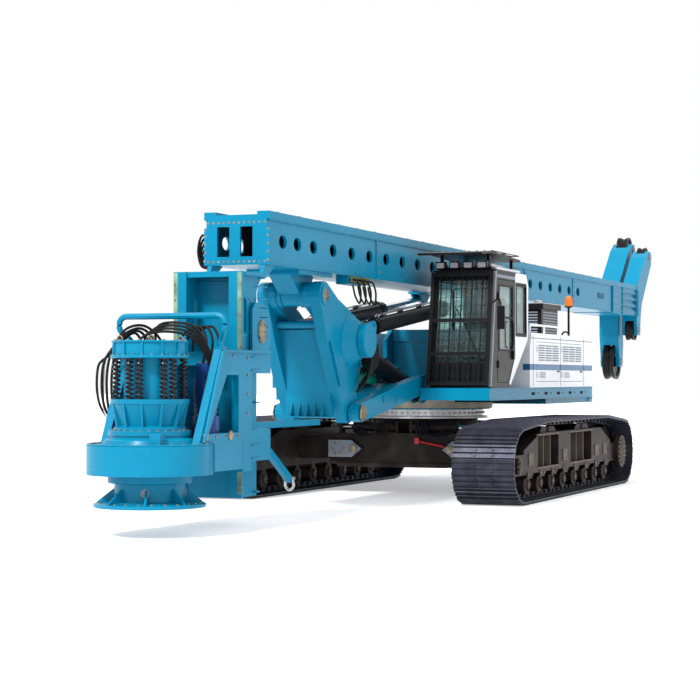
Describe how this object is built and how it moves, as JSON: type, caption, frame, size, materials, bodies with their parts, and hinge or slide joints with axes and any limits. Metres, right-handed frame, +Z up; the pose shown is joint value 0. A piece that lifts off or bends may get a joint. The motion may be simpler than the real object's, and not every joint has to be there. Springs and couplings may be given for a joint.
{
  "type": "rotary piling rig",
  "caption": "Crawler rotary piling rig folded for transport: slewing deck with cab, boom linkage, long box mast folded back, hanging lower mast and rotary drive.",
  "frame": {"origin": "on the ground, in the middle of the machine's length and width", "axes": "+Z up, -Y towards the rotary drive at the front, +X towards the cab side"},
  "size_m": [4.453, 21.93, 4.45],
  "materials": {
    "blue_paint": "gloss",
    "deep_blue_paint": "gloss",
    "white_paint": "gloss",
    "chassis_brown": "satin",
    "black_paint": "satin",
    "shoe_steel": "worn",
    "warm_grey": "satin",
    "spring_steel": "dark",
    "chrome_rod": "polished",
    "orange_lamp": "translucent",
    "cab_glass": "tinted",
    "seat_fabric": "woven",
    "brass_fitting": "bright"
  },
  "bodies": {
    "undercarriage": {"car_body": "chassis_brown", "slew_bearing": "chassis_brown"},
    "crawler_left": {"track_left": "shoe_steel", "track_frame_left": "warm_grey", "idler_left": "chassis_brown", "sprocket_left": "chassis_brown"},
    "crawler_right": {"track_right": "shoe_steel", "track_frame_right": "warm_grey", "idler_right": "chassis_brown", "sprocket_right": "chassis_brown"},
    "upper": {"turntable": "blue_paint", "counterweight": "white_paint", "engine_hood": "white_paint", "engine_block": "chassis_brown", "right_housing": "white_paint", "tool_box": "blue_paint", "exhaust_housing": "black_paint", "hood_handrail": "white_paint", "beacon": "orange_lamp", "winch_frame": "blue_paint", "cab_shell": "black_paint", "windscreen": "cab_glass", "cab_guard": "black_paint", "roof_guard": "black_paint", "operator_seat": "seat_fabric", "operator_console": "black_paint"},
    "cab_door": {"cab_door": "warm_grey", "door_window": "cab_glass"},
    "hood_door_front": {"hood_door_front": "white_paint"},
    "hood_door_rear": {"hood_door_rear": "white_paint"},
    "winch_drum": {"winch_drum": "chassis_brown"},
    "boom": {"boom": "blue_paint"},
    "luffing_barrels": {"luffing_barrel_left": "black_paint", "luffing_barrel_right": "black_paint"},
    "luffing_rods": {"luffing_rod_left": "chrome_rod", "luffing_rod_right": "chrome_rod"},
    "support_frame": {"support_frame": "blue_paint"},
    "mast_barrels": {"mast_barrel_left": "black_paint", "mast_barrel_right": "black_paint"},
    "mast_rods": {"mast_rod_left": "chrome_rod", "mast_rod_right": "chrome_rod"},
    "mast": {"upper_mast": "blue_paint", "mast_head": "blue_paint", "valve_block": "brass_fitting"},
    "main_sheave_upper": {"main_sheave_upper": "black_paint"},
    "main_sheave_lower": {"main_sheave_lower": "black_paint"},
    "auxiliary_sheave_upper": {"auxiliary_sheave_upper": "black_paint"},
    "auxiliary_sheave_lower": {"auxiliary_sheave_lower": "black_paint"},
    "lower_mast": {"lower_mast": "blue_paint"},
    "rotary_drive": {"rotary_gearbox": "blue_paint", "rotary_carriage": "blue_paint", "rotary_motor_left": "deep_blue_paint", "rotary_motor_right": "deep_blue_paint", "guard_hoop": "blue_paint"},
    "drive_sleeve": {"drive_sleeve": "blue_paint", "absorber_springs": "spring_steel", "absorber_drum": "blue_paint"}
  },
  "joints": [
    {"name": "crawler_left_retract", "type": "slide", "parent": "undercarriage", "child": "crawler_left", "axis": [-1, 0, 0], "range_m": [0, 0.44]},
    {"name": "crawler_right_retract", "type": "slide", "parent": "undercarriage", "child": "crawler_right", "axis": [1, 0, 0], "range_m": [0, 0.44]},
    {"name": "slew", "type": "hinge", "parent": "undercarriage", "child": "upper", "pos_m": [0, -2.015, 1.14], "axis": [0, 0, 1], "continuous": true},
    {"name": "cab_door_hinge", "type": "hinge", "parent": "upper", "child": "cab_door", "pos_m": [1.507, -3.495, 1.45], "axis": [0, 0, -1], "range_deg": [0, 95]},
    {"name": "hood_door_front_hinge", "type": "hinge", "parent": "upper", "child": "hood_door_front", "pos_m": [1.507, -1.635, 1.52], "axis": [0, 0, -1], "range_deg": [0, 95]},
    {"name": "hood_door_rear_hinge", "type": "hinge", "parent": "upper", "child": "hood_door_rear", "pos_m": [1.507, -0.335, 1.52], "axis": [0, 0, -1], "range_deg": [0, 95]},
    {"name": "winch_spin", "type": "hinge", "parent": "upper", "child": "winch_drum", "pos_m": [0, -1.715, 1.86], "axis": [1, 0, 0], "continuous": true},
    {"name": "boom_lift", "type": "hinge", "parent": "upper", "child": "boom", "pos_m": [0, -3.565, 1.5], "axis": [-1, 0, 0], "range_deg": [0, 50]},
    {"name": "frame_level", "type": "hinge", "parent": "boom", "child": "support_frame", "pos_m": [0, -5.955, 1.15], "axis": [-1, 0, 0], "range_deg": [-50, 0]},
    {"name": "luffing_swing", "type": "hinge", "parent": "upper", "child": "luffing_barrels", "pos_m": [0, -3.015, 1.33], "axis": [-1, 0, 0], "range_deg": [0, 40.14]},
    {"name": "luffing_stroke", "type": "slide", "parent": "luffing_barrels", "child": "luffing_rods", "axis": [0, -0.9668, 0.2557], "range_m": [0, 0.677]},
    {"name": "mast_raise", "type": "hinge", "parent": "support_frame", "child": "mast", "pos_m": [0, -6.745, 2.54], "axis": [1, 0, 0], "range_deg": [0, 90]},
    {"name": "mast_cylinder_swing", "type": "hinge", "parent": "support_frame", "child": "mast_barrels", "pos_m": [0, -5.465, 2.19], "axis": [1, 0, 0], "range_deg": [0, 96.95]},
    {"name": "mast_cylinder_stroke", "type": "slide", "parent": "mast_barrels", "child": "mast_rods", "axis": [0, 0.9932, 0.1161], "range_m": [0, 1.772]},
    {"name": "lower_mast_fold", "type": "hinge", "parent": "mast", "child": "lower_mast", "pos_m": [0, -8.3405, 2.6905], "axis": [1, 0, 0], "range_deg": [-90, 0]},
    {"name": "rotary_feed", "type": "slide", "parent": "lower_mast", "child": "rotary_drive", "axis": [0, 0, 1], "range_m": [0, 0.5]},
    {"name": "kelly_spin", "type": "hinge", "parent": "rotary_drive", "child": "drive_sleeve", "pos_m": [0, -10.335, 0.29], "axis": [0, 0, 1], "continuous": true},
    {"name": "main_sheave_upper_spin", "type": "hinge", "parent": "mast", "child": "main_sheave_upper", "pos_m": [-0.17, 10.705, 4.19], "axis": [1, 0, 0], "continuous": true},
    {"name": "main_sheave_lower_spin", "type": "hinge", "parent": "mast", "child": "main_sheave_lower", "pos_m": [-0.17, 9.585, 1.9], "axis": [1, 0, 0], "continuous": true},
    {"name": "auxiliary_sheave_upper_spin", "type": "hinge", "parent": "mast", "child": "auxiliary_sheave_upper", "pos_m": [0.25, 10.505, 4.02], "axis": [1, 0, 0], "continuous": true},
    {"name": "auxiliary_sheave_lower_spin", "type": "hinge", "parent": "mast", "child": "auxiliary_sheave_lower", "pos_m": [0.25, 9.485, 2.52], "axis": [1, 0, 0], "continuous": true}
  ],
  "couplings": [
    {"joint": "frame_level", "follows": "boom_lift", "ratio": -1},
    {"joint": "luffing_swing", "follows": "boom_lift", "ratio": 0.79879},
    {"joint": "luffing_stroke", "follows": "boom_lift", "m_per_rad": 0.77395},
    {"joint": "mast_cylinder_swing", "follows": "mast_raise", "ratio": 1.075},
    {"joint": "mast_cylinder_stroke", "follows": "mast_raise", "m_per_rad": 1.127},
    {"joint": "lower_mast_fold", "follows": "mast_raise", "ratio": -1}
  ]
}
